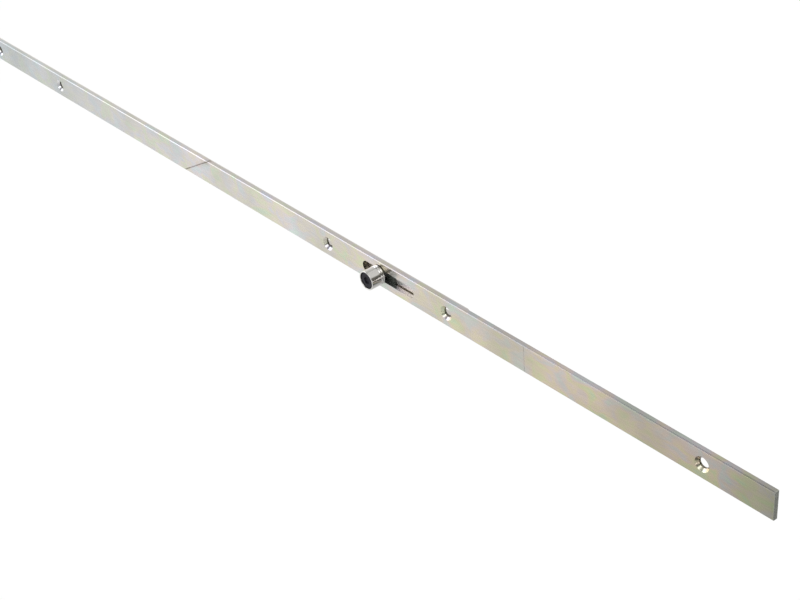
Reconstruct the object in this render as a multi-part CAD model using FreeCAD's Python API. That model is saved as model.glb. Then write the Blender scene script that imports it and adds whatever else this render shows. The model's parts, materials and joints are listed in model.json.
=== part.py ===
import FreeCAD, Part
import math
import os

# Espagnolette lock: a long faceplate, a drive rod that slides behind it, a geared
# follower that moves the rod, and two rollers that lock into strikers in the frame.
# Millimetres. The origin is the centre of the square spindle hole. +X runs along the
# lock towards the end of its long arm, +Z is the width of the faceplate, and the
# faceplate's front looks towards -Y.

# Faceplate
backset = 20.0
faceplate_width = 16.0
faceplate_thickness = 2.5
faceplate_edge_radius = 0.8
faceplate_end_radius = 0.3
long_arm = 800.0
short_arm = 270.0

# Places along the long arm, measured from its end
end_hole_from_end = 39.6
crop_mark_from_end = 151.8
rod_end_from_end = 197.0
hole_beyond_roller_from_end = 209.1
near_roller_from_end = 262.9
hole_before_roller_from_end = 307.8
mitre_from_end = 439.7
mitre_slant = 29.0

# Places on both arms, measured from the spindle
middle_hole = 193.5
case_hole = 106.5
far_roller = 165.0
far_rod_end = 188.0
far_end_hole = 231.0

# Screw holes in the faceplate
screw_hole_radius = 2.75
post_hole_radius = 2.3
countersink_radius = 4.1

# Marks cut in the front of the faceplate
mitre_groove_width = 0.6
mitre_groove_depth = 0.3
crop_groove_width = 0.36
crop_groove_depth = 0.18

# Drive rod
rod_gap = 0.7
rod_width = 10.8
rod_thickness = 2.5
rod_corner_radius = 1.5
rod_edge_radius = 0.25
travel_back = 10.4
travel_forward = 24.6
rod_slot_radius = 3.0

# Rack and follower
teeth_per_turn = 14
tooth_pitch = 5.0
pressure_angle = 25.0
addendum = 1.45
root_clearance = 0.3
backlash = 0.2
first_tooth = -6
last_tooth = 3
gear_face = 6.8
spindle_square = 7.05
square_turn = -36.5
hub_radius = 7.5
rack_width = 7.0
rack_teeth = 9
rack_lead = 5.5
rack_rivet_inset = 3.0
rivet_radius = 1.25
rivet_head_radius = 1.9

# Gear case
case_end_block = 11.4
case_end_clearance = 0.7
case_thickness = 12.0
case_back = 14.9
case_shoulder = -4.0
case_crown_half_length = 22.0
case_crown_radius = 8.0
case_shoulder_radius = 4.0
case_foot_radius = 0.8
case_wall = 1.6
case_floor = 2.3
case_rod_clearance = 0.25
handle_screw_spacing = 43.0
handle_screw_radius = 2.6
handle_boss_radius = 4.2
case_rivet_radius = 1.5
case_rivet_head_radius = 2.2
case_rivet_boss_radius = 3.0
upper_rivet_x = 17.5
upper_rivet_y = 10.2
lower_rivet_x = 38.0
lower_rivet_y = -3.0
panel_recess = 0.4
panel_inset = 3.2

# Posts and screws that hold the case to the faceplate
post_from_case_end = 6.5
post_neck_radius = 2.7
post_head_radius = 3.6
post_head_length = 6.3
case_screw_radius = 2.0
case_screw_length = 9.5
driver_slot_length = 3.8
driver_slot_width = 0.8
driver_slot_depth = 1.3
slide_strip_thickness = 0.6
slide_strip_width = 12.0

# Rollers
roller_radius = 5.6
roller_bore_radius = 4.8
roller_height = 9.15
roller_face_gap = 0.35
roller_rim_radius = 0.3
roller_ring_width = 0.6
roller_ring_depth = 0.3
roller_ring_heights = (1.35, 2.65)
faceplate_slot_radius = 3.5
slot_end_play = 0.1
stud_neck_radius = 3.3
stud_collar_radius = 4.2
stud_collar_thickness = 0.8
stud_axle_radius = 2.75
stud_tail_radius = 2.5
stud_tail_head_radius = 3.4
bush_end_gap = 0.1
cap_head_radius = 4.55
cap_head_thickness = 1.3
cap_recess = 0.45
cap_shank_radius = 1.5
cap_shank_length = 4.0
cap_hex_across_flats = 4.0
cap_hex_depth = 0.8
pad_back_reach = 6.5
pad_forward_low = 10.5
pad_forward_high = 8.0
pad_width = 10.0
pad_corner_radius = 1.5
pad_thickness = 0.6

# Clearances
running_clearance = 0.05
seat_clearance = 0.02
loose_clearance = 0.1

# Levels behind the front of the faceplate
face_y = -backset
face_back_y = face_y + faceplate_thickness
rod_front_y = face_back_y + rod_gap
rod_back_y = rod_front_y + rod_thickness
case_front_y = rod_back_y + case_rod_clearance

# Gear proportions
pitch_radius = teeth_per_turn * tooth_pitch / (2 * math.pi)
tooth_thickness = tooth_pitch / 2 - backlash / 2
base_radius = pitch_radius * math.cos(math.radians(pressure_angle))
tip_radius = pitch_radius + addendum
root_radius = pitch_radius - addendum - root_clearance

# Places measured from the spindle
near_roller_x = long_arm - near_roller_from_end
far_roller_x = -far_roller
rod_near_x = long_arm - rod_end_from_end
rod_far_x = -far_rod_end
crop_mark_x = long_arm - crop_mark_from_end
mitre_low_x = long_arm - mitre_from_end - mitre_slant / 2
mitre_high_x = mitre_low_x + mitre_slant
rack_first_x = -(rack_teeth + 2) * tooth_pitch / 2
rack_last_x = rack_first_x + (rack_teeth - 1) * tooth_pitch
rack_start_x = rack_first_x - tooth_pitch / 2 - rack_lead
rack_end_x = rack_last_x + tooth_pitch / 2 + rack_lead
rack_reach = max(travel_back - rack_start_x, travel_forward + rack_end_x)
case_cavity_half_length = rack_reach + case_end_clearance
case_half_length = case_cavity_half_length + case_end_block
post_x = case_half_length - post_from_case_end


# Helpers

def vector(x, y, z):
    return FreeCAD.Vector(x, y, z)


def front_plane(y):
    return lambda u, v: vector(u, y, v)


def side_plane(z):
    return lambda u, v: vector(u, v, z)


def turning_plane(x):
    return lambda u, v: vector(x + u, v, 0)


def outline(corners, place):
    # corners are (u, v, radius) in order; place puts u and v into the model.
    tangents = []
    count = len(corners)
    for i in range(count):
        u, v, radius = corners[i]
        before = corners[i - 1]
        after = corners[(i + 1) % count]
        back = (before[0] - u, before[1] - v)
        ahead = (after[0] - u, after[1] - v)
        back_length = math.hypot(*back)
        ahead_length = math.hypot(*ahead)
        back = (back[0] / back_length, back[1] / back_length)
        ahead = (ahead[0] / ahead_length, ahead[1] / ahead_length)
        if radius == 0:
            tangents.append(((u, v), None, (u, v)))
            continue
        half = math.acos(back[0] * ahead[0] + back[1] * ahead[1]) / 2
        reach = radius / math.tan(half)
        middle = (back[0] + ahead[0], back[1] + ahead[1])
        middle_length = math.hypot(*middle)
        sink = radius / math.sin(half) - radius
        crown = (u + middle[0] / middle_length * sink, v + middle[1] / middle_length * sink)
        start = (u + back[0] * reach, v + back[1] * reach)
        end = (u + ahead[0] * reach, v + ahead[1] * reach)
        tangents.append((start, crown, end))
    edges = []
    for i in range(count):
        start, crown, end = tangents[i]
        if crown:
            edges.append(Part.Arc(place(*start), place(*crown), place(*end)).toShape())
        following = tangents[(i + 1) % count][0]
        if math.hypot(following[0] - end[0], following[1] - end[1]) > 1e-6:
            edges.append(Part.makeLine(place(*end), place(*following)))
    return Part.Wire(edges)


def plate(corners, y, thickness):
    return Part.Face(outline(corners, front_plane(y))).extrude(vector(0, thickness, 0))


def slab(corners, z, height):
    return Part.Face(outline(corners, side_plane(z))).extrude(vector(0, 0, height))


def turned(x, corners):
    # Corners are (radius, y, fillet), revolved about an axis along Y through x.
    face = Part.Face(outline(corners, turning_plane(x)))
    return face.revolve(vector(x, 0, 0), vector(0, 1, 0), 360)


def rectangle(u0, u1, v0, v1, radius=0):
    return [(u0, v0, radius), (u1, v0, radius), (u1, v1, radius), (u0, v1, radius)]


def bar_along_y(x, radius, y0, y1):
    return Part.makeCylinder(radius, y1 - y0, vector(x, y0, 0), vector(0, 1, 0))


def bar_along_z(x, y, radius, z0, z1):
    return Part.makeCylinder(radius, z1 - z0, vector(x, y, z0))


def obround(x0, x1, radius, y0, y1):
    # A slot cutter whose end circles are centred at x0 and x1.
    return plate(rectangle(x0 - radius, x1 + radius, -radius, radius, radius), y0, y1 - y0)


def cut_all(shape, cutters):
    return shape.cut(cutters[0].multiFuse(cutters[1:]) if len(cutters) > 1 else cutters[0])


def joined(shapes):
    return shapes[0].multiFuse(shapes[1:]).removeSplitter()


def save(name, shapes):
    solids = shapes if isinstance(shapes, list) else [shapes]
    single = []
    for shape in solids:
        single.extend(shape.Solids)
    result = single[0] if len(single) == 1 else Part.makeCompound(single)
    result.exportStep("parts/" + name + ".step")
    box = result.BoundBox
    print("%-28s %2d solid(s) valid %s  x %.1f %.1f  y %.1f %.1f  z %.1f %.1f" % (
        name, len(single), result.isValid(),
        box.XMin, box.XMax, box.YMin, box.YMax, box.ZMin, box.ZMax))


# Faceplate

def countersunk_cutter(x, radius):
    sink = countersink_radius - radius
    cone = Part.makeCone(countersink_radius, radius, sink, vector(x, face_y, 0), vector(0, 1, 0))
    return bar_along_y(x, radius, face_y, face_back_y).fuse(cone)


def roller_slot_cutter(x):
    first = x - travel_back - slot_end_play
    last = x + travel_forward + slot_end_play
    return obround(first, last, faceplate_slot_radius, face_y, face_back_y)


def groove_cutter(low_x, high_x, width, depth):
    # A shallow vee across the front, from the lower edge to the upper one.
    half_width = faceplate_width / 2
    length = math.hypot(high_x - low_x, faceplate_width)
    across = vector(faceplate_width / length, 0, -(high_x - low_x) / length)
    along = vector(high_x - low_x, 0, faceplate_width)
    start = vector(low_x, face_y, -half_width)
    left = start - across * (width / 2)
    right = start + across * (width / 2)
    bottom = start + vector(0, depth, 0)
    triangle = Part.makePolygon([left, right, bottom, left])
    return Part.Face(triangle).extrude(along)


def rounded_front(shape):
    # Rounds the long front edges and, less, the cropped end, but not the slanted end.
    long_edges = []
    end_points = []
    for edge in shape.Edges:
        ends = [vertex.Point for vertex in edge.Vertexes]
        if max(abs(point.y - face_y) for point in ends) > 1e-6:
            continue
        if abs(ends[0].z - ends[1].z) < 1e-6:
            long_edges.append(edge)
        elif abs(ends[0].x - ends[1].x) < 1e-6:
            end_points.append(ends[0].x)
    rounded = shape.makeFillet(faceplate_edge_radius, long_edges)
    end_x = end_points[0]
    end_edges = []
    for edge in rounded.Edges:
        at_end = all(abs(vertex.Point.x - end_x) < 1e-6 for vertex in edge.Vertexes)
        in_front = all(vertex.Point.y < face_y + faceplate_edge_radius - 1e-6 for vertex in edge.Vertexes)
        if at_end and in_front:
            end_edges.append(edge)
    return rounded.makeFillet(faceplate_end_radius, end_edges)


def faceplate_length(corners, cutters):
    blank = rounded_front(plate(corners, face_y, faceplate_thickness))
    return cut_all(blank, cutters)


def faceplate_gear_side():
    low = -faceplate_width / 2
    high = faceplate_width / 2
    corners = [
        (-short_arm, low, 0),
        (mitre_low_x, low, 0),
        (mitre_high_x, high, 0),
        (-short_arm, high, 0),
    ]
    holes = [-far_end_hole, -case_hole, case_hole, middle_hole]
    cutters = [countersunk_cutter(x, screw_hole_radius) for x in holes]
    # The screws of the case have narrower holes, so that the posts bear on the plate.
    for x in (-post_x, post_x):
        cutters.append(countersunk_cutter(x, post_hole_radius))
    cutters.append(roller_slot_cutter(far_roller_x))
    cutters.append(groove_cutter(mitre_low_x, mitre_high_x, mitre_groove_width, mitre_groove_depth))
    return faceplate_length(corners, cutters)


def faceplate_extension():
    low = -faceplate_width / 2
    high = faceplate_width / 2
    corners = [
        (mitre_low_x, low, 0),
        (long_arm, low, 0),
        (long_arm, high, 0),
        (mitre_high_x, high, 0),
    ]
    holes = [
        long_arm - hole_before_roller_from_end,
        long_arm - hole_beyond_roller_from_end,
        long_arm - end_hole_from_end,
    ]
    cutters = [countersunk_cutter(x, screw_hole_radius) for x in holes]
    cutters.append(roller_slot_cutter(near_roller_x))
    cutters.append(groove_cutter(mitre_low_x, mitre_high_x, mitre_groove_width, mitre_groove_depth))
    cutters.append(groove_cutter(crop_mark_x, crop_mark_x, crop_groove_width, crop_groove_depth))
    return faceplate_length(corners, cutters)


# Drive rod and rack

def rod_slot_cutter(x):
    # Long enough for a fixed screw or post at x over the rod's whole travel.
    return obround(x - travel_forward, x + travel_back, rod_slot_radius, rod_front_y, rod_back_y)


def rod_notch_cutter(x):
    # The screw nearest the rod's end stands in a slot that is open at that end.
    corners = [
        (x - travel_forward - rod_slot_radius, -rod_slot_radius, rod_slot_radius),
        (rod_near_x + rod_slot_radius, -rod_slot_radius, 0),
        (rod_near_x + rod_slot_radius, rod_slot_radius, 0),
        (x - travel_forward - rod_slot_radius, rod_slot_radius, rod_slot_radius),
    ]
    return plate(corners, rod_front_y, rod_thickness)


def rack_rivet_places():
    return [rack_start_x + rack_rivet_inset, rack_end_x - rack_rivet_inset]


def rivet_through(x, y0, y1, clearance):
    # A flush rivet with a coned head at both ends.
    cone = rivet_head_radius - rivet_radius
    return turned(x, [
        (0, y0, 0),
        (rivet_head_radius + clearance, y0, 0),
        (rivet_radius + clearance, y0 + cone, 0),
        (rivet_radius + clearance, y1 - cone, 0),
        (rivet_head_radius + clearance, y1, 0),
        (0, y1, 0),
    ])


def drive_rod():
    half = rod_width / 2
    blank = plate(rectangle(rod_far_x, rod_near_x, -half, half, rod_corner_radius), rod_front_y, rod_thickness)
    long_edges = []
    for edge in blank.Edges:
        ends = [vertex.Point for vertex in edge.Vertexes]
        if abs(ends[0].x - ends[1].x) > rod_width:
            long_edges.append(edge)
    blank = blank.makeFillet(rod_edge_radius, long_edges)
    fixed = [
        -case_hole,
        -post_x,
        post_x,
        case_hole,
        middle_hole,
        long_arm - hole_before_roller_from_end,
    ]
    cutters = [rod_slot_cutter(x) for x in fixed]
    cutters.append(rod_notch_cutter(long_arm - hole_beyond_roller_from_end))
    for x in (near_roller_x, far_roller_x):
        cutters.append(stud_tail(x, seat_clearance))
    for x in rack_rivet_places():
        cutters.append(rivet_through(x, rod_front_y, rack_floor_y(), seat_clearance))
    return cut_all(blank, cutters)


def rack_floor_y():
    return -pitch_radius - addendum - root_clearance


def rack():
    slope = math.tan(math.radians(pressure_angle))
    tip_y = -pitch_radius + addendum
    floor_y = rack_floor_y()
    tip_half = tooth_thickness / 2 - addendum * slope
    floor_half = tooth_thickness / 2 + (addendum + root_clearance) * slope
    corners = [(rack_end_x, rod_back_y, 0), (rack_start_x, rod_back_y, 0), (rack_start_x, floor_y, 0)]
    for i in range(rack_teeth):
        centre = rack_first_x + i * tooth_pitch
        corners.append((centre - floor_half, floor_y, 0))
        corners.append((centre - tip_half, tip_y, 0))
        corners.append((centre + tip_half, tip_y, 0))
        corners.append((centre + floor_half, floor_y, 0))
    corners.append((rack_end_x, floor_y, 0))
    blank = slab(corners, -rack_width / 2, rack_width)
    cutters = [rivet_through(x, rod_front_y, floor_y, seat_clearance) for x in rack_rivet_places()]
    return cut_all(blank, cutters)


def rack_rivets():
    return [rivet_through(x, rod_front_y, rack_floor_y(), 0) for x in rack_rivet_places()]


# Follower

def involute(angle):
    return math.tan(angle) - angle


def tooth_half_angle(radius):
    at_pitch = tooth_thickness / 2 / pitch_radius + involute(math.radians(pressure_angle))
    return at_pitch - involute(math.acos(min(1.0, base_radius / radius)))


def follower_tooth(middle):
    # One tooth: radial below the base circle, involute above it, an arc at the tip.
    def at(radius, angle):
        return vector(radius * math.cos(angle), radius * math.sin(angle), -gear_face / 2)

    foot_radius = root_radius - 1.0
    steps = 4
    radii = [base_radius + (tip_radius - base_radius) * i / steps for i in range(steps + 1)]
    right = Part.BSplineCurve()
    right.interpolate([at(radius, middle - tooth_half_angle(radius)) for radius in radii])
    left = Part.BSplineCurve()
    left.interpolate([at(radius, middle + tooth_half_angle(radius)) for radius in reversed(radii)])
    base_half = tooth_half_angle(base_radius)
    tip_half = tooth_half_angle(tip_radius)
    tip = Part.Arc(at(tip_radius, middle - tip_half), at(tip_radius, middle), at(tip_radius, middle + tip_half))
    edges = [
        Part.makeLine(at(foot_radius, middle - base_half), at(base_radius, middle - base_half)),
        right.toShape(),
        tip.toShape(),
        left.toShape(),
        Part.makeLine(at(base_radius, middle + base_half), at(foot_radius, middle + base_half)),
        Part.makeLine(at(foot_radius, middle + base_half), at(foot_radius, middle - base_half)),
    ]
    return Part.Face(Part.Wire(edges)).extrude(vector(0, 0, gear_face))


def follower():
    pieces = [bar_along_z(0, 0, root_radius, -gear_face / 2, gear_face / 2)]
    for tooth in range(first_tooth, last_tooth + 1):
        pieces.append(follower_tooth(-math.pi / 2 + tooth * 2 * math.pi / teeth_per_turn))
    hub_half = case_thickness / 2 - loose_clearance
    pieces.append(bar_along_z(0, 0, hub_radius, -hub_half, hub_half))
    blank = joined(pieces)
    half = spindle_square / 2
    square = slab(rectangle(-half, half, -half, half), -case_thickness, 2 * case_thickness)
    square.rotate(vector(0, 0, 0), vector(0, 0, 1), square_turn)
    return blank.cut(square)


# Gear case

def case_outline(inset):
    # The outer form, or the same form drawn in by an inset.
    slope = (case_back - case_shoulder) / (case_half_length - case_crown_half_length)
    drop = inset * math.hypot(1, slope)
    end = case_half_length - inset
    back = case_back - inset
    crown = case_crown_half_length + (case_back - back - drop) / slope
    shoulder = case_shoulder + inset * slope - drop
    front = case_front_y + inset
    return [
        (-end, front, case_foot_radius),
        (end, front, case_foot_radius),
        (end, shoulder, case_shoulder_radius),
        (crown, back, case_crown_radius),
        (-crown, back, case_crown_radius),
        (-end, shoulder, case_shoulder_radius),
    ]


def case_cavity_outline():
    slope = (case_back - case_shoulder) / (case_half_length - case_crown_half_length)
    drop = case_wall * math.hypot(1, slope)
    back = case_back - case_wall
    crown = case_half_length - (back - case_shoulder + drop) / slope
    shoulder = case_shoulder + (case_half_length - case_cavity_half_length) * slope - drop
    end = case_cavity_half_length
    front = case_front_y - case_wall
    return [
        (-end, front, 0),
        (end, front, 0),
        (end, shoulder, case_foot_radius),
        (crown, back, case_crown_radius - case_wall),
        (-crown, back, case_crown_radius - case_wall),
        (-end, shoulder, case_foot_radius),
    ]


def case_rivet_places():
    return [
        (-upper_rivet_x, upper_rivet_y),
        (upper_rivet_x, upper_rivet_y),
        (-lower_rivet_x, lower_rivet_y),
        (lower_rivet_x, lower_rivet_y),
    ]


def handle_screw_places():
    return [(-handle_screw_spacing / 2, 0), (handle_screw_spacing / 2, 0)]


def case_half(side):
    # Made above the parting plane, then turned over for the half below it.
    half = case_thickness / 2
    depth = half - case_floor
    shell = slab(case_outline(0), 0, half)
    cavity = slab(case_cavity_outline(), 0, depth)
    bosses = []
    for x, y in case_rivet_places():
        bosses.append(bar_along_z(x, y, case_rivet_boss_radius, 0, depth))
    for x, y in handle_screw_places():
        bosses.append(bar_along_z(x, y, handle_boss_radius, 0, depth))
    cavity = cut_all(cavity, bosses)
    panel = slab(case_outline(panel_inset), half - panel_recess, panel_recess)
    lands = [bar_along_z(0, 0, hub_radius + case_wall * 2, 0, half)]
    for x, y in case_rivet_places():
        lands.append(bar_along_z(x, y, case_rivet_boss_radius, 0, half))
    for x, y in handle_screw_places():
        lands.append(bar_along_z(x, y, handle_boss_radius, 0, half))
    panel = cut_all(panel, lands)
    cutters = [cavity, panel, bar_along_z(0, 0, hub_radius + running_clearance, 0, half)]
    for x, y in handle_screw_places():
        cutters.append(bar_along_z(x, y, handle_screw_radius, 0, half))
    for x, y in case_rivet_places():
        cutters.append(case_rivet(x, y, seat_clearance))
    for x in (-post_x, post_x):
        cutters.append(post_pocket(x))
    shell = cut_all(shell, cutters)
    if side < 0:
        shell = shell.mirror(vector(0, 0, 0), vector(0, 0, 1))
    return shell


def case_rivet(x, y, clearance):
    half = case_thickness / 2
    head = case_rivet_head_radius - case_rivet_radius
    bottom = vector(x, y, -half)
    top = vector(x, y, half)
    shank = bar_along_z(x, y, case_rivet_radius + clearance, -half, half)
    outer = case_rivet_head_radius + clearance
    inner = case_rivet_radius + clearance
    low = Part.makeCone(outer, inner, head, bottom, vector(0, 0, 1))
    high = Part.makeCone(outer, inner, head, top, vector(0, 0, -1))
    return joined([shank, low, high])


def case_rivets():
    return [case_rivet(x, y, 0) for x, y in case_rivet_places()]


# Posts, screws and slide strip

def post_head_y():
    return case_front_y + case_wall


def post_pocket(x):
    neck = post_neck_radius + running_clearance
    head = post_head_radius + running_clearance
    start = post_head_y()
    passage = bar_along_y(x, neck, case_front_y - case_wall, start + case_wall)
    return passage.fuse(bar_along_y(x, head, start, start + post_head_length))


def case_post(x):
    head_y = post_head_y()
    return turned(x, [
        (case_screw_radius + running_clearance, face_back_y, 0),
        (post_neck_radius, face_back_y, 0),
        (post_neck_radius, head_y, 0),
        (post_head_radius, head_y, 0),
        (post_head_radius, head_y + post_head_length, 0.5),
        (case_screw_radius + running_clearance, head_y + post_head_length, 0),
    ])


def case_fixing_screw(x):
    head_y = face_y + loose_clearance
    body = turned(x, [
        (0, head_y, 0),
        (countersink_radius - loose_clearance, head_y, 0),
        (case_screw_radius, face_y + countersink_radius - case_screw_radius, 0),
        (case_screw_radius, face_y + case_screw_length, 0.6),
        (0, face_y + case_screw_length, 0),
    ])
    long_half = driver_slot_length / 2
    short_half = driver_slot_width / 2
    bottom = head_y + driver_slot_depth
    across = plate(rectangle(x - long_half, x + long_half, -short_half, short_half), face_y, bottom - face_y)
    upright = plate(rectangle(x - short_half, x + short_half, -long_half, long_half), face_y, bottom - face_y)
    return body.cut(across.fuse(upright))


def case_fixing_screws():
    return [case_fixing_screw(-post_x), case_fixing_screw(post_x)]


def rod_slide_strip():
    half = slide_strip_width / 2
    corners = rectangle(-case_half_length, case_half_length, -half, half, rod_corner_radius)
    blank = plate(corners, face_back_y, slide_strip_thickness)
    holes = []
    for x in (-post_x, post_x):
        holes.append(bar_along_y(x, post_neck_radius + loose_clearance, face_back_y, rod_front_y))
    return cut_all(blank, holes)


# Rollers

def stud_tail(x, clearance):
    cone = stud_tail_head_radius - stud_tail_radius
    return turned(x, [
        (0, rod_front_y, 0),
        (stud_tail_radius + clearance, rod_front_y, 0),
        (stud_tail_radius + clearance, rod_back_y - cone, 0),
        (stud_tail_head_radius + clearance, rod_back_y, 0),
        (0, rod_back_y, 0),
    ])


def collar_front_y():
    return face_y - roller_face_gap - stud_collar_thickness


def cap_back_y():
    return face_y - roller_height + cap_recess + cap_head_thickness


def roller_stud(x):
    body = turned(x, [
        (0, cap_back_y(), 0),
        (stud_axle_radius, cap_back_y(), 0.2),
        (stud_axle_radius, collar_front_y(), 0),
        (stud_collar_radius, collar_front_y(), 0),
        (stud_collar_radius, collar_front_y() + stud_collar_thickness, 0),
        (stud_neck_radius, collar_front_y() + stud_collar_thickness, 0),
        (stud_neck_radius, rod_front_y, 0),
        (0, rod_front_y, 0),
    ])
    thread = bar_along_y(x, cap_shank_radius + seat_clearance, cap_back_y(), cap_back_y() + cap_shank_length)
    return joined([body, stud_tail(x, 0)]).cut(thread)


def slide_pad(x):
    half = pad_width / 2
    corners = [
        (x - pad_back_reach, -half, pad_corner_radius),
        (x + pad_forward_low, -half, pad_corner_radius),
        (x + pad_forward_high, half, pad_corner_radius),
        (x - pad_back_reach, half, pad_corner_radius),
    ]
    front = rod_front_y - pad_thickness
    hole = bar_along_y(x, stud_neck_radius + seat_clearance, front, rod_front_y)
    return plate(corners, front, pad_thickness).cut(hole)


def roller_sleeve(x):
    base_y = face_y - roller_face_gap
    rim_y = face_y - roller_height
    body = turned(x, [
        (roller_bore_radius, rim_y, roller_rim_radius),
        (roller_radius, rim_y, roller_rim_radius),
        (roller_radius, base_y, roller_rim_radius),
        (roller_bore_radius, base_y, 0),
    ])
    rings = []
    for height in roller_ring_heights:
        middle = face_y - height
        rings.append(turned(x, [
            (roller_radius - roller_ring_depth, middle, 0),
            (roller_radius + roller_ring_depth, middle - roller_ring_width, 0),
            (roller_radius + roller_ring_depth, middle + roller_ring_width, 0),
        ]))
    return cut_all(body, rings)


def roller_bush(x):
    back = collar_front_y() - bush_end_gap
    front = cap_back_y() + bush_end_gap
    return turned(x, [
        (stud_axle_radius + running_clearance, front, 0),
        (roller_bore_radius - seat_clearance, front, 0.3),
        (roller_bore_radius - seat_clearance, back, 0),
        (stud_axle_radius + running_clearance, back, 0),
    ])


def roller_cap_screw(x):
    back = cap_back_y()
    front = back - cap_head_thickness
    body = turned(x, [
        (0, front, 0),
        (cap_head_radius, front, 0.35),
        (cap_head_radius, back, 0),
        (cap_shank_radius, back, 0),
        (cap_shank_radius, back + cap_shank_length - bush_end_gap, 0.3),
        (0, back + cap_shank_length - bush_end_gap, 0),
    ])
    corner = cap_hex_across_flats / 2 / math.cos(math.pi / 6)
    corners = []
    for i in range(6):
        angle = i * math.pi / 3
        corners.append((x + corner * math.cos(angle), corner * math.sin(angle), 0))
    return body.cut(plate(corners, front, cap_hex_depth))


# Build

save("faceplate_gear_side", faceplate_gear_side())
save("faceplate_extension", faceplate_extension())
save("gear_case_base", case_half(-1))
save("gear_case_cover", case_half(1))
save("case_post_near", case_post(post_x))
save("case_post_far", case_post(-post_x))
save("case_fixing_screws", case_fixing_screws())
save("case_rivets", case_rivets())
save("rod_slide_strip", rod_slide_strip())
save("drive_rod", drive_rod())
save("rack", rack())
save("rack_rivets", rack_rivets())
save("follower", follower())
for place, roller_x in (("near", near_roller_x), ("far", far_roller_x)):
    save("roller_stud_" + place, roller_stud(roller_x))
    save("slide_pad_" + place, slide_pad(roller_x))
    save("roller_sleeve_" + place, roller_sleeve(roller_x))
    save("roller_bush_" + place, roller_bush(roller_x))
    save("roller_cap_screw_" + place, roller_cap_screw(roller_x))
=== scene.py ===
import json

import bpy
from mathutils import Matrix, Vector

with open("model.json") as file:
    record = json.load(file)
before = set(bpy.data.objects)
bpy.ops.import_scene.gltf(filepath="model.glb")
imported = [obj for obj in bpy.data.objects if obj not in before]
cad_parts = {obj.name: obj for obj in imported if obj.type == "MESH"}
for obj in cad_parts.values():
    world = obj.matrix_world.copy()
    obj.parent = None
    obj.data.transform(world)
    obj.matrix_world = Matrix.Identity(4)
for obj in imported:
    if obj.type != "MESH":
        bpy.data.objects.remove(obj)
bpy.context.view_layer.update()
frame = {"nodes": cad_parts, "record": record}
nodes = frame["nodes"]
print("frame loaded:", len(nodes), "nodes")


# Small helpers for building node trees

white = (1.0, 1.0, 1.0)


def newMaterial(name):
    material = bpy.data.materials.new(name)
    material.use_nodes = True
    tree = material.node_tree
    tree.nodes.clear()
    output = tree.nodes.new("ShaderNodeOutputMaterial")
    shader = tree.nodes.new("ShaderNodeBsdfPrincipled")
    tree.links.new(shader.outputs["BSDF"], output.inputs["Surface"])
    return material, tree, shader


def connectOrSet(tree, socket, value):
    if isinstance(value, bpy.types.NodeSocket):
        tree.links.new(value, socket)
    elif isinstance(value, tuple):
        socket.default_value = (*value, 1.0)
    else:
        socket.default_value = value


def separated(tree, vector):
    node = tree.nodes.new("ShaderNodeSeparateXYZ")
    tree.links.new(vector, node.inputs[0])
    return node.outputs


def objectCoordinates(tree, scale=(1, 1, 1), location=(0, 0, 0)):
    coordinates = tree.nodes.new("ShaderNodeTexCoord")
    mapping = tree.nodes.new("ShaderNodeMapping")
    mapping.inputs["Scale"].default_value = scale
    mapping.inputs["Location"].default_value = location
    tree.links.new(coordinates.outputs["Object"], mapping.inputs["Vector"])
    return mapping.outputs["Vector"]


def surfaceNormal(tree):
    geometry = tree.nodes.new("ShaderNodeNewGeometry")
    return separated(tree, geometry.outputs["Normal"])


def noise(tree, vector, scale, detail, rough=0.5, distortion=0.0):
    texture = tree.nodes.new("ShaderNodeTexNoise")
    texture.inputs["Scale"].default_value = scale
    texture.inputs["Detail"].default_value = detail
    texture.inputs["Roughness"].default_value = rough
    texture.inputs["Distortion"].default_value = distortion
    tree.links.new(vector, texture.inputs["Vector"])
    return texture.outputs["Fac"]


def calculate(tree, operation, first, second=0.0):
    node = tree.nodes.new("ShaderNodeMath")
    node.operation = operation
    connectOrSet(tree, node.inputs[0], first)
    connectOrSet(tree, node.inputs[1], second)
    return node.outputs[0]


def product(tree, first, *others):
    for other in others:
        first = calculate(tree, "MULTIPLY", first, other)
    return first


def mapRange(tree, value, fromRange, toRange):
    node = tree.nodes.new("ShaderNodeMapRange")
    node.inputs["From Min"].default_value = fromRange[0]
    node.inputs["From Max"].default_value = fromRange[1]
    node.inputs["To Min"].default_value = toRange[0]
    node.inputs["To Max"].default_value = toRange[1]
    tree.links.new(value, node.inputs["Value"])
    return node.outputs["Result"]


def rising(tree, value, edge):
    return mapRange(tree, value, edge, (0.0, 1.0))


def falling(tree, value, edge):
    return mapRange(tree, value, edge, (1.0, 0.0))


def ramp(tree, value, stops):
    node = tree.nodes.new("ShaderNodeValToRGB")
    elements = node.color_ramp.elements
    while len(elements) < len(stops):
        elements.new(0.5)
    for element, (position, colour) in zip(elements, stops):
        element.position = position
        element.color = (*colour, 1.0)
    tree.links.new(value, node.inputs["Fac"])
    return node.outputs["Color"]


def mixColour(tree, factor, first, second, blend="MIX"):
    node = tree.nodes.new("ShaderNodeMix")
    node.data_type = "RGBA"
    node.blend_type = blend
    # These are the factor and the two colours among the node's many sockets.
    connectOrSet(tree, node.inputs[0], factor)
    connectOrSet(tree, node.inputs[6], first)
    connectOrSet(tree, node.inputs[7], second)
    return node.outputs[2]


def multiplied(tree, colour, tint):
    return mixColour(tree, 1.0, colour, tint, "MULTIPLY")


def tinted(tree, share, colour, tint):
    return mixColour(tree, share, colour, multiplied(tree, colour, tint))


def bump(tree, shader, height, strength, distance):
    node = tree.nodes.new("ShaderNodeBump")
    node.inputs["Strength"].default_value = strength
    node.inputs["Distance"].default_value = distance
    tree.links.new(height, node.inputs["Height"])
    tree.links.new(node.outputs["Normal"], shader.inputs["Normal"])


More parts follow.
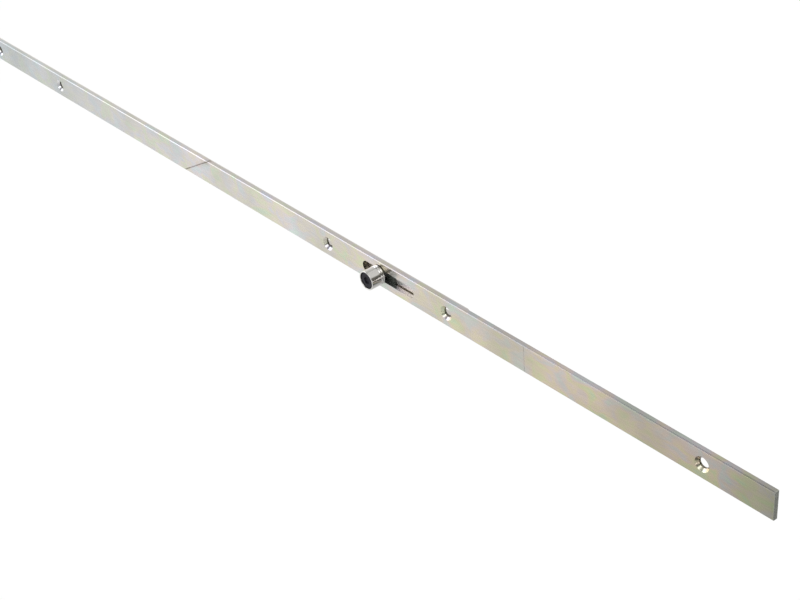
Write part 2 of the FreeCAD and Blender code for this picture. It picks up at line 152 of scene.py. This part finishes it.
# Faceplate: zinc plate with a faint rainbow film. Places and edges are in metres,
# "leaning" is how far a surface's normal points along Y or Z, from 0 to 1.

faceplateFinish = {
    # Colour at places along the strip.
    "alongPlate": [
        (0.10, (0.610, 0.670, 0.650)),
        (0.30, (0.700, 0.728, 0.684)),
        (0.46, (0.712, 0.732, 0.650)),
        (0.60, (0.720, 0.730, 0.600)),
        (0.68, (0.750, 0.737, 0.598)),
        (0.750, (0.755, 0.724, 0.583)),
        (0.777, (0.600, 0.610, 0.495)),
        (0.80, (0.470, 0.520, 0.415)),
    ],
    # Tint of the film by its thickness.
    "film": [
        (0.30, (0.91, 1.04, 0.90)),
        (0.38, (1.03, 1.03, 0.82)),
        (0.46, (1.11, 0.98, 0.91)),
        (0.54, (1.07, 0.94, 1.04)),
        (0.62, (0.97, 0.96, 1.12)),
        (0.71, (0.91, 1.03, 1.06)),
    ],
    "patches": {
        "stretch": (1.0, 1.0, 1.5),
        "noise": {"scale": 80.0, "detail": 3.0, "rough": 0.5, "distortion": 0.6},
    },
    # Towards the end of the long arm the film is thinner below and thicker above.
    "filmAcross": {"edges": (-0.008, 0.008), "thickness": (-0.09, 0.06), "along": (0.58, 0.70)},
    "filmAlong": {"along": (0.20, 0.65), "strength": (0.55, 1.12)},
    "clouds": {
        "shift": (3, 1, 2), "scale": 28.0, "detail": 3.0,
        "filmRange": (0.35, 0.65), "filmStrength": (0.62, 1.08),
        "shadeRange": (0.3, 0.7), "shades": (0.88, 1.11),
        "roughness": (0.20, 0.29),
    },
    "grain": {
        "stretch": (0.12, 1, 1), "scale": 900.0, "detail": 4.0,
        "shades": (0.88, 1.09), "height": 0.08, "distance": 0.0002,
    },
    # Painted reflection on the long top and bottom edges: a cooler grey tint.
    "edgeSheen": {"leaning": (0.25, 0.70), "along": (0.32, 0.45), "tint": (0.95, 0.97, 1.09)},
    # Painted shade inside the holes: a darker tint on the hole walls.
    "holeShade": {"leaning": (0.15, 0.45), "reach": (0.0028, 0.0030), "tint": (0.34, 0.33, 0.31)},
    # Painted highlight on the countersunk cones: a tint above one that brightens them.
    "countersinkLight": {
        "leaningFrom": (0.45, 0.55), "leaningTo": (0.85, 0.95),
        "reach": (0.0042, 0.0045), "tint": (1.24, 1.22, 1.28),
    },
    "slotWalls": {
        "leaning": (0.15, 0.45), "inner": (0.0030, 0.0033), "outer": (0.0036, 0.0038),
        "rough": 0.34, "tint": (1.05, 1.05, 1.0),
    },
    # Distances from the middle of the strip: the tints of the holes stop before the cropped ends.
    "ends": {
        "middle": 0.265, "clear": (0.5340, 0.5344), "cut": (0.5346, 0.5349),
        "colour": (0.64, 0.655, 0.60), "rough": 0.55,
    },
}

# The slanted joint between the two lengths of the faceplate.
seamFinish = {
    "middle": 0.3603,
    "slope": 29 / 16,
    "groove": (0.00026, 0.0013),
    "grooveStrength": 0.75,
    "grooveColour": (0.34, 0.30, 0.25),
    "heatReach": 0.0065,
    "heatAcross": (-0.003, 0.007),
    "heatTint": (0.80, 0.70, 0.58),
    "blotches": {"scale": 260.0, "detail": 2.0, "range": (0.35, 0.65), "strength": (0.2, 1.0)},
}


def filmedColour(tree, x, z, clouds):
    plate = faceplateFinish
    patches, across, along = plate["patches"], plate["filmAcross"], plate["filmAlong"]
    place = objectCoordinates(tree, patches["stretch"])
    thickness = noise(tree, place, **patches["noise"])
    towardsEdge = mapRange(tree, z, across["edges"], across["thickness"])
    thicker = product(tree, towardsEdge, rising(tree, x, across["along"]))
    film = ramp(tree, calculate(tree, "ADD", thickness, thicker), plate["film"])
    strength = mapRange(tree, clouds, plate["clouds"]["filmRange"], plate["clouds"]["filmStrength"])
    strength = product(tree, strength, mapRange(tree, x, along["along"], along["strength"]))
    silver = ramp(tree, x, plate["alongPlate"])
    return multiplied(tree, silver, mixColour(tree, strength, white, film))


def seamTint(tree, colour, x, z):
    # Browns the steel beside the upper half of the joint and darkens its groove.
    seam = seamFinish
    along = calculate(tree, "SUBTRACT", x, calculate(tree, "MULTIPLY", z, seam["slope"]))
    away = calculate(tree, "ABSOLUTE", calculate(tree, "SUBTRACT", along, seam["middle"]))
    near = falling(tree, away, (0.0, seam["heatReach"]))
    high = rising(tree, z, seam["heatAcross"])
    spots = seam["blotches"]
    blotches = noise(tree, objectCoordinates(tree), spots["scale"], spots["detail"])
    blotches = mapRange(tree, blotches, spots["range"], spots["strength"])
    colour = tinted(tree, product(tree, near, high, blotches), colour, seam["heatTint"])
    groove = mapRange(tree, away, seam["groove"], (seam["grooveStrength"], 0.0))
    return mixColour(tree, groove, colour, seam["grooveColour"])


def paintedHoleShade(tree, colour, leaning, away, between):
    # Painted shade: the walls of the holes are darkened to stand in for the shade inside them.
    walls = faceplateFinish["holeShade"]
    upright = falling(tree, leaning, walls["leaning"])
    inside = falling(tree, away, walls["reach"])
    return tinted(tree, product(tree, upright, inside, between), colour, walls["tint"])


def paintedCountersinkLight(tree, colour, leaning, away, between):
    # Painted highlight: the countersunk cones are brightened and made a little cooler, to stand in for the
    # light they reflect.
    cones = faceplateFinish["countersinkLight"]
    offFlat = falling(tree, leaning, cones["leaningTo"])
    slanted = product(tree, rising(tree, leaning, cones["leaningFrom"]), offFlat)
    inside = falling(tree, away, cones["reach"])
    return tinted(tree, product(tree, slanted, inside, between), colour, cones["tint"])


def slotWallShare(tree, leaning, away, between):
    # The straight walls of the roller slots, which are rough from the punch.
    walls = faceplateFinish["slotWalls"]
    upright = falling(tree, leaning, walls["leaning"])
    outside = rising(tree, away, walls["inner"])
    inside = falling(tree, away, walls["outer"])
    return product(tree, upright, product(tree, outside, inside), between)


def paintedEdgeSheen(tree, colour, normal, x):
    # Painted reflection: the long top and bottom edges get a cooler grey tint that stands in for the
    # greyer light they reflect.
    edges = faceplateFinish["edgeSheen"]
    sideways = rising(tree, calculate(tree, "ABSOLUTE", normal["Z"]), edges["leaning"])
    return tinted(tree, product(tree, sideways, rising(tree, x, edges["along"])), colour, edges["tint"])


def faceplateMaterial():
    plate = faceplateFinish
    material, tree, shader = newMaterial("filmedZincPlate")
    place = separated(tree, objectCoordinates(tree))
    x, z = place["X"], place["Z"]
    cloud, fine, ends, slots = plate["clouds"], plate["grain"], plate["ends"], plate["slotWalls"]
    clouds = noise(tree, objectCoordinates(tree, location=cloud["shift"]), cloud["scale"], cloud["detail"])
    grain = noise(tree, objectCoordinates(tree, fine["stretch"]), fine["scale"], fine["detail"])
    colour = filmedColour(tree, x, z, clouds)
    colour = multiplied(tree, colour, mapRange(tree, clouds, cloud["shadeRange"], cloud["shades"]))
    colour = multiplied(tree, colour, mapRange(tree, grain, (0.0, 1.0), fine["shades"]))
    colour = seamTint(tree, colour, x, z)

    normal = surfaceNormal(tree)
    leaning = calculate(tree, "ABSOLUTE", normal["Y"])
    away = calculate(tree, "ABSOLUTE", z)
    fromMiddle = calculate(tree, "ABSOLUTE", calculate(tree, "SUBTRACT", x, ends["middle"]))
    between = falling(tree, fromMiddle, ends["clear"])
    colour = paintedHoleShade(tree, colour, leaning, away, between)
    colour = paintedCountersinkLight(tree, colour, leaning, away, between)
    colour = paintedEdgeSheen(tree, colour, normal, x)
    punched = slotWallShare(tree, leaning, away, between)
    colour = tinted(tree, punched, colour, slots["tint"])
    cut = rising(tree, fromMiddle, ends["cut"])
    colour = mixColour(tree, cut, colour, ends["colour"])
    tree.links.new(colour, shader.inputs["Base Color"])

    shader.inputs["Metallic"].default_value = 1.0
    duller = product(tree, cut, ends["rough"])
    duller = calculate(tree, "MAXIMUM", duller, product(tree, punched, slots["rough"]))
    smooth = mapRange(tree, clouds, (0.0, 1.0), cloud["roughness"])
    tree.links.new(calculate(tree, "MAXIMUM", smooth, duller), shader.inputs["Roughness"])
    bump(tree, shader, grain, fine["height"], fine["distance"])
    return material


# Plain metals: each takes these settings, apart from what its own entry changes

metalSettings = {
    "metallic": 1.0,
    "gloss": 0.5,
    "broad": {"stretch": (0.5, 1, 1), "scale": 90.0, "detail": 3.0, "range": (0.3, 0.7)},
    "grainStretch": (0.15, 1, 1),
    "grainScale": 700.0,
    "grainDetail": 4.0,
    "grainShades": (0.88, 1.06),
    "grainHeight": 0.12,
    "grainDistance": 0.0002,
}

# The keys are the material slots of the record.
metalFinishes = {
    "rack_steel": {
        "name": "milledRack",
        "colour": (0.58, 0.58, 0.57),
        "darker": (0.48, 0.48, 0.47),
        "roughness": (0.30, 0.42),
    },
    "gear_steel": {
        "name": "sinteredFollower",
        "colour": (0.46, 0.455, 0.45),
        "darker": (0.36, 0.36, 0.355),
        "roughness": (0.42, 0.56),
        "grainScale": 1500.0,
        "grainStretch": (1, 1, 1),
        "grainHeight": 0.3,
    },
    "case_steel": {
        "name": "castZincCase",
        "colour": (0.66, 0.66, 0.65),
        "darker": (0.56, 0.56, 0.555),
        "roughness": (0.44, 0.58),
        "grainScale": 1200.0,
        "grainStretch": (1, 1, 1),
        "grainHeight": 0.35,
    },
    "zinc": {
        "name": "plainZinc",
        "colour": (0.80, 0.79, 0.77),
        "darker": (0.70, 0.69, 0.67),
        "roughness": (0.20, 0.30),
    },
    "stud_steel": {
        "name": "turnedStud",
        "colour": (0.52, 0.51, 0.50),
        "darker": (0.42, 0.42, 0.41),
        "roughness": (0.26, 0.36),
    },
    "nickel": {
        "name": "brightNickel",
        "colour": (0.90, 0.885, 0.85),
        "darker": (0.82, 0.81, 0.78),
        "roughness": (0.10, 0.17),
        "grainScale": 1800.0,
        "grainStretch": (1, 0.1, 1),
        "grainHeight": 0.05,
    },
    "black_steel": {
        "name": "blackenedSteel",
        "colour": (0.046, 0.044, 0.055),
        "darker": (0.033, 0.031, 0.040),
        "roughness": (0.50, 0.62),
        "grainScale": 1500.0,
        "grainStretch": (1, 1, 1),
        "grainHeight": 0.15,
        "metallic": 0.0,
        "gloss": 0.17,
    },
}


def metalMaterial(own):
    metal = {**metalSettings, **own}
    broad = metal["broad"]
    material, tree, shader = newMaterial(metal["name"])
    cloud = noise(tree, objectCoordinates(tree, broad["stretch"]), broad["scale"], broad["detail"])
    share = mapRange(tree, cloud, broad["range"], (0.0, 1.0))
    tone = mixColour(tree, share, metal["darker"], metal["colour"])
    place = objectCoordinates(tree, metal["grainStretch"])
    grain = noise(tree, place, metal["grainScale"], metal["grainDetail"])
    tone = multiplied(tree, tone, mapRange(tree, grain, (0.0, 1.0), metal["grainShades"]))
    tree.links.new(tone, shader.inputs["Base Color"])
    shader.inputs["Metallic"].default_value = metal["metallic"]
    shader.inputs["Specular IOR Level"].default_value = metal["gloss"]
    tree.links.new(mapRange(tree, cloud, (0.0, 1.0), metal["roughness"]), shader.inputs["Roughness"])
    bump(tree, shader, grain, metal["grainHeight"], metal["grainDistance"])
    return material, tree, shader


# Drive rod: zinc plate, with painted shade on the front where the faceplate always covers it

rodFinish = {
    "name": "zincPlatedRod",
    "colour": (0.90, 0.86, 0.83),
    "darker": (0.83, 0.79, 0.76),
    "roughness": (0.16, 0.24),
    "shadeFrom": (0.0034, 0.0037),
    "frontNormals": (-0.9, -0.6),
    "paintedShadeTint": (0.12, 0.10, 0.08),
}


def shadedRodMaterial(rod):
    material, tree, shader = metalMaterial(rod)
    z = separated(tree, objectCoordinates(tree))["Z"]
    # Painted shade: the front of the rod is darkened where the faceplate covers it.
    covered = rising(tree, calculate(tree, "ABSOLUTE", z), rod["shadeFrom"])
    inFront = falling(tree, surfaceNormal(tree)["Y"], rod["frontNormals"])
    unshadedTone = shader.inputs["Base Color"].links[0].from_socket
    shadedTone = tinted(tree, product(tree, covered, inFront), unshadedTone, rod["paintedShadeTint"])
    tree.links.new(shadedTone, shader.inputs["Base Color"])
    return material


# Slide pads, bushes and slide strip: black acetal. The black pads beside the rollers also stand in for the
# rollers' shadow in the slots, as painted shadow.

plasticFinish = {
    "name": "blackAcetalAndShadowPads",
    # Near-black colour, which on the pads in the slots is painted shadow.
    "colour": (0.052, 0.060, 0.050),
    "lighter": (0.105, 0.122, 0.100),
    "roughness": (0.30, 0.44),
    "grainScale": 2200.0,
    "grainDetail": 3.0,
    "grainRange": (0.35, 0.7),
    "grainHeight": 0.15,
    "grainDistance": 0.0001,
}


def plasticMaterial(plastic):
    material, tree, shader = newMaterial(plastic["name"])
    grain = noise(tree, objectCoordinates(tree), plastic["grainScale"], plastic["grainDetail"])
    share = mapRange(tree, grain, plastic["grainRange"], (0.0, 1.0))
    tone = mixColour(tree, share, plastic["colour"], plastic["lighter"])
    tree.links.new(tone, shader.inputs["Base Color"])
    tree.links.new(mapRange(tree, grain, (0.0, 1.0), plastic["roughness"]), shader.inputs["Roughness"])
    bump(tree, shader, grain, plastic["grainHeight"], plastic["grainDistance"])
    return material


finishes = {slot: metalMaterial(own)[0] for slot, own in metalFinishes.items()}
finishes["faceplate_steel"] = faceplateMaterial()
finishes["rod_steel"] = shadedRodMaterial(rodFinish)
finishes["black_plastic"] = plasticMaterial(plasticFinish)

slotOf = {entry["node"]: entry["material_slot"] for entry in frame["record"]["subparts"]}
for name, node in nodes.items():
    node.data.materials.clear()
    node.data.materials.append(finishes[slotOf[name]])
print("finishes given to", len(nodes), "nodes")


# Floor: pale, white to the camera, and with brightnesses of its own in reflections

floorSettings = {
    "middle": (0.3, 0, -0.30),
    "size": 30.0,
    "colour": (0.86, 0.86, 0.86),
    "roughness": 0.9,
    "seenShare": 0.9,
    "seenStrength": 1.06,
    # Brightness in reflections at places along X.
    "glow": [
        (-0.9, 0.86), (-0.34, 0.88), (0.06, 0.93), (0.30, 0.82), (0.40, 0.72),
        (0.47, 0.64), (0.58, 0.53), (0.64, 0.50), (0.74, 0.66), (0.95, 0.62),
        (1.30, 0.45), (1.60, 0.14), (2.25, 0.14), (2.60, 1.7), (6.0, 1.7),
    ],
    # A darker round in those reflections, beyond the near end.
    "shade": {"middle": (1.02, 0.02, -0.30), "edge": (0.26, 0.38), "strength": 0.15},
}


def glowRamp(tree, value, stops, low, high):
    # Greys along a distance or a direction; stops are (place, strength).
    scaled = rising(tree, value, (low, high))
    return ramp(tree, scaled, [((place - low) / (high - low), (grey,) * 3) for place, grey in stops])


def floorGlow(tree, floor):
    geometry = tree.nodes.new("ShaderNodeNewGeometry")
    position = geometry.outputs["Position"]
    stops, shade = floor["glow"], floor["shade"]
    glow = glowRamp(tree, separated(tree, position)["X"], stops, stops[0][0], stops[-1][0])
    away = tree.nodes.new("ShaderNodeVectorMath")
    away.operation = "DISTANCE"
    away.inputs[1].default_value = shade["middle"]
    tree.links.new(position, away.inputs[0])
    kept = mapRange(tree, away.outputs["Value"], shade["edge"], (shade["strength"], 1.0))
    return multiplied(tree, glow, kept)


def mixShaders(tree, share, first, second):
    mix = tree.nodes.new("ShaderNodeMixShader")
    tree.links.new(share, mix.inputs[0])
    tree.links.new(first, mix.inputs[1])
    tree.links.new(second, mix.inputs[2])
    return mix.outputs[0]


def addFloor(floor):
    bpy.ops.object.select_all(action="DESELECT")
    bpy.ops.mesh.primitive_plane_add(size=floor["size"], location=floor["middle"])
    plane = bpy.context.object
    plane.name = "floor"
    material, tree, shader = newMaterial("paleFloor")
    output = tree.nodes["Material Output"]
    shader.inputs["Base Color"].default_value = (*floor["colour"], 1)
    shader.inputs["Roughness"].default_value = floor["roughness"]
    seen = tree.nodes.new("ShaderNodeEmission")
    seen.inputs["Strength"].default_value = floor["seenStrength"]
    mirrored = tree.nodes.new("ShaderNodeEmission")
    tree.links.new(floorGlow(tree, floor), mirrored.inputs["Color"])
    path = tree.nodes.new("ShaderNodeLightPath")
    seenShare = calculate(tree, "MULTIPLY", path.outputs["Is Camera Ray"], floor["seenShare"])
    surface = mixShaders(tree, seenShare, shader.outputs["BSDF"], seen.outputs["Emission"])
    surface = mixShaders(tree, path.outputs["Is Glossy Ray"], surface, mirrored.outputs["Emission"])
    tree.links.new(surface, output.inputs["Surface"])
    plane.data.materials.append(material)


# World: a soft studio, white to the camera

worldSettings = {
    # Brightness by direction along X, in front of the object (-Y) and behind it (+Y).
    "frontGlow": [
        (-1.0, 0.70), (-0.85, 0.62), (-0.72, 0.72), (-0.64, 0.72), (-0.58, 0.45),
        (-0.53, 0.22), (-0.38, 0.22), (-0.20, 0.45), (0.10, 0.50), (1.0, 0.46),
    ],
    "backGlow": [
        (-1.0, 1.0), (-0.88, 0.95), (-0.83, 0.84), (-0.79, 0.76), (-0.70, 0.70),
        (-0.62, 0.65), (-0.53, 0.56), (-0.43, 0.54), (-0.34, 0.50), (-0.20, 0.40),
        (0.55, 0.40), (0.70, 0.46), (1.0, 0.46),
    ],
    "frontToBack": (-0.15, 0.15),
    "tint": (1.0, 0.99, 0.965),
    # Directions where the surroundings are darker or lighter; the edges are cosines.
    "patches": [
        {"towards": (0.83, 0.50, 0.22), "edge": (0.950, 0.980), "tint": (0.20, 0.19, 0.16)},
        {"towards": (-0.69, -0.51, 0.52), "edge": (0.955, 0.985), "tint": (1.38, 1.42, 1.52)},
        {"towards": (0.15, -0.90, 0.40), "edge": (0.960, 0.985), "tint": (4.0, 4.1, 4.4)},
        {"towards": (0.52, -0.79, 0.33), "edge": (0.955, 0.983), "tint": (0.12, 0.14, 0.13)},
        {"towards": (0.30, -0.42, 0.855), "edge": (0.880, 0.940), "tint": (1.9, 1.9, 1.95)},
        {"towards": (0.84, -0.50, 0.18), "edge": (0.950, 0.978), "tint": (0.18, 0.18, 0.16)},
        {"towards": (-0.90, -0.42, 0.12), "edge": (0.80, 0.95), "tint": (2.2, 2.2, 2.3)},
    ],
}


def patchTint(tree, direction, patch):
    facing = tree.nodes.new("ShaderNodeVectorMath")
    facing.operation = "DOT_PRODUCT"
    facing.inputs[1].default_value = Vector(patch["towards"]).normalized()
    tree.links.new(direction, facing.inputs[0])
    inside = rising(tree, facing.outputs["Value"], patch["edge"])
    return mixColour(tree, inside, white, patch["tint"])


def addWorld(studio):
    world = bpy.data.worlds.new("studio")
    world.use_nodes = True
    tree = world.node_tree
    tree.nodes.clear()
    direction = tree.nodes.new("ShaderNodeTexCoord").outputs["Generated"]
    parts = separated(tree, direction)
    front = glowRamp(tree, parts["X"], studio["frontGlow"], -1.0, 1.0)
    behind = glowRamp(tree, parts["X"], studio["backGlow"], -1.0, 1.0)
    glow = mixColour(tree, rising(tree, parts["Y"], studio["frontToBack"]), front, behind)
    for patch in studio["patches"]:
        glow = multiplied(tree, glow, patchTint(tree, direction, patch))
    lit = tree.nodes.new("ShaderNodeBackground")
    tree.links.new(multiplied(tree, glow, studio["tint"]), lit.inputs["Color"])
    seen = tree.nodes.new("ShaderNodeBackground")
    seen.inputs["Color"].default_value = (*white, 1.0)
    path = tree.nodes.new("ShaderNodeLightPath")
    surface = mixShaders(tree, path.outputs["Is Camera Ray"], lit.outputs[0], seen.outputs[0])
    output = tree.nodes.new("ShaderNodeOutputWorld")
    tree.links.new(surface, output.inputs["Surface"])
    bpy.context.scene.world = world


# Lamp: one large soft disk above and behind

keyLight = {
    "name": "keyLight",
    "aim": (0.5, 0, 0),
    "from": (0.25, 0.45, 0.86),
    "distance": 2.5,
    "size": 3.0,
    "power": 6.0,
}


def addLamp(lamp):
    away = Vector(lamp["from"]).normalized()
    data = bpy.data.lights.new(lamp["name"], "AREA")
    data.shape = "DISK"
    data.size = lamp["size"]
    data.energy = lamp["power"]
    disk = bpy.data.objects.new(lamp["name"], data)
    bpy.context.scene.collection.objects.link(disk)
    disk.location = Vector(lamp["aim"]) + away * lamp["distance"]
    disk.rotation_mode = "QUATERNION"
    disk.rotation_quaternion = away.to_track_quat("Z", "Y")


addFloor(floorSettings)
addWorld(worldSettings)
addLamp(keyLight)
print("floor, world and lamp set")


# Camera, matched to the photograph

cameraSettings = {
    "place": (1.1003, -0.4334, 0.4449),
    "up": (-0.38401, 0.40387, 0.83031),
    "back": (0.66519, -0.50265, 0.55214),
    "lens": 69.935,
    "sensor": 36.0,
    "clip": (0.01, 100.0),
}


def addCamera(view):
    back = Vector(view["back"]).normalized()
    right = Vector(view["up"]).cross(back).normalized()
    up = back.cross(right)
    data = bpy.data.cameras.new("camera")
    data.sensor_width = view["sensor"]
    data.lens = view["lens"]
    data.clip_start, data.clip_end = view["clip"]
    camera = bpy.data.objects.new("camera", data)
    bpy.context.scene.collection.objects.link(camera)
    turn = Matrix((right, up, back)).transposed().to_4x4()
    camera.matrix_world = Matrix.Translation(Vector(view["place"])) @ turn
    bpy.context.scene.camera = camera


addCamera(cameraSettings)
bpy.context.scene.view_settings.view_transform = "Standard"
print("camera set")
